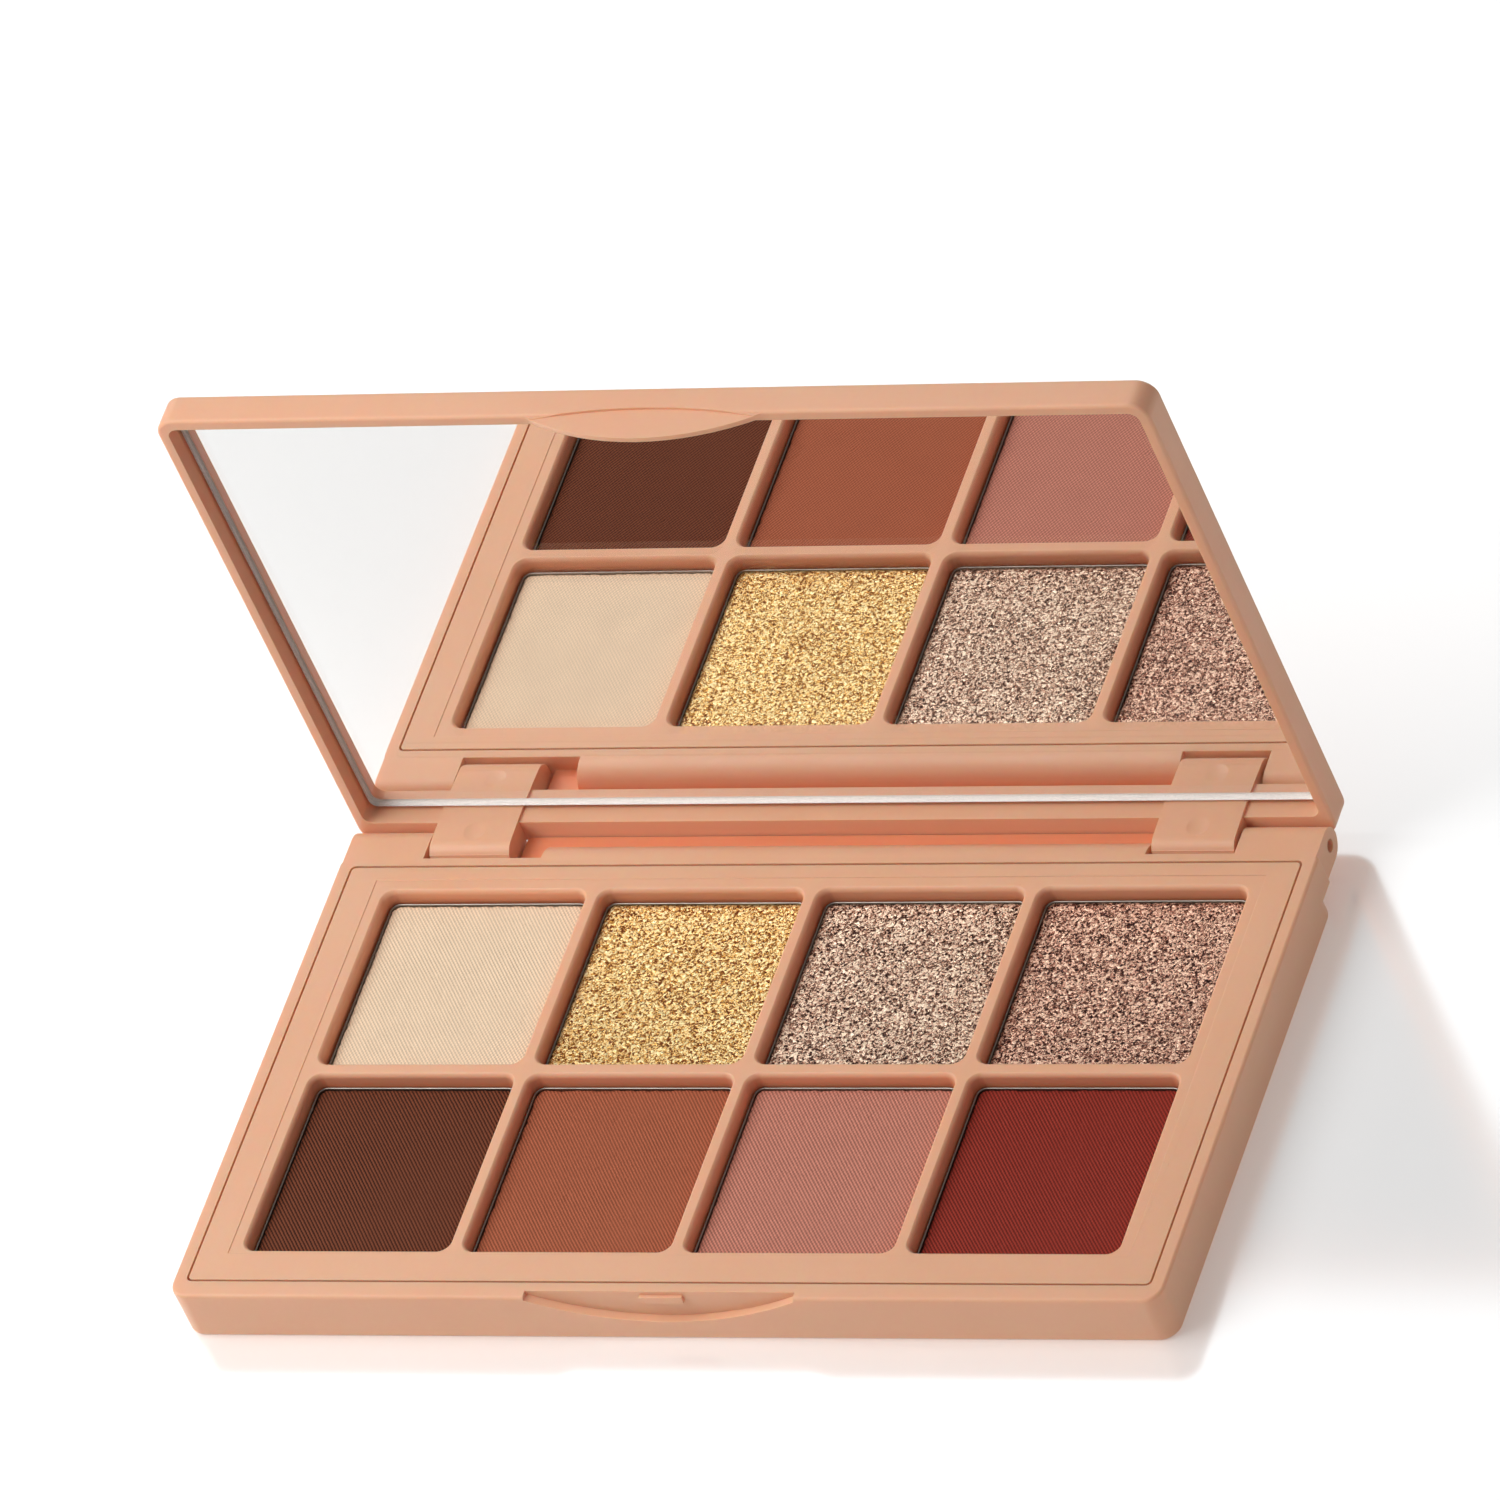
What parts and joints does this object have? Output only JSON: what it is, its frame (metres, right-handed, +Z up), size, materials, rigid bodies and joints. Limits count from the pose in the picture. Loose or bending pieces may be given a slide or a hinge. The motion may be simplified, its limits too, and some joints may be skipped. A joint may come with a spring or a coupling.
{
  "type": "eyeshadow palette",
  "caption": "Slim rectangular eyeshadow palette: hinged lid with a full mirror, two rows of square powder pans and a thumb notch.",
  "frame": {"origin": "middle of the flat underside of the base, under the pans", "axes": "+X to the right and +Y towards the hinge as the user sees the open palette, +Z up from the table"},
  "size_m": [0.116, 0.0714, 0.0703],
  "materials": {
    "case_plastic": "smooth satin peach moulding",
    "pan_tinplate": "bright pressed tinplate",
    "glue": "set hot-melt dot",
    "mirror": "silvered glass with ground edges",
    "foam_tape": "double-sided tape",
    "pin_steel": "drawn wire, cut ends",
    "powder_dark_brown": "pressed powder, matte",
    "powder_terracotta": "pressed powder, matte",
    "powder_dusty_pink": "pressed powder, matte",
    "powder_oxblood": "pressed powder, matte",
    "powder_cream": "pressed powder, matte",
    "powder_gold": "pressed powder, metallic glitter",
    "powder_champagne": "pressed powder, metallic shimmer",
    "powder_rose_bronze": "pressed powder, metallic shimmer"
  },
  "bodies": {
    "base": {"base_shell": "case_plastic", "pan_plate": "case_plastic", "pan_dark_brown": "pan_tinplate", "pan_terracotta": "pan_tinplate", "pan_dusty_pink": "pan_tinplate", "pan_oxblood": "pan_tinplate", "pan_cream": "pan_tinplate", "pan_gold": "pan_tinplate", "pan_champagne": "pan_tinplate", "pan_rose_bronze": "pan_tinplate", "powder_dark_brown": "powder_dark_brown", "powder_terracotta": "powder_terracotta", "powder_dusty_pink": "powder_dusty_pink", "powder_oxblood": "powder_oxblood", "powder_cream": "powder_cream", "powder_gold": "powder_gold", "powder_champagne": "powder_champagne", "powder_rose_bronze": "powder_rose_bronze", "pan_glue": "glue", "hinge_pin_left": "pin_steel", "hinge_pin_right": "pin_steel"},
    "lid": {"lid_shell": "case_plastic", "mirror_glass": "mirror", "mirror_adhesive": "foam_tape"}
  },
  "joints": [
    {"name": "lid_hinge", "type": "hinge", "parent": "base", "child": "lid", "pos_m": [0, 0.03215, 0.0044], "axis": [-1, 0, 0], "range_deg": [-90, 30]}
  ]
}
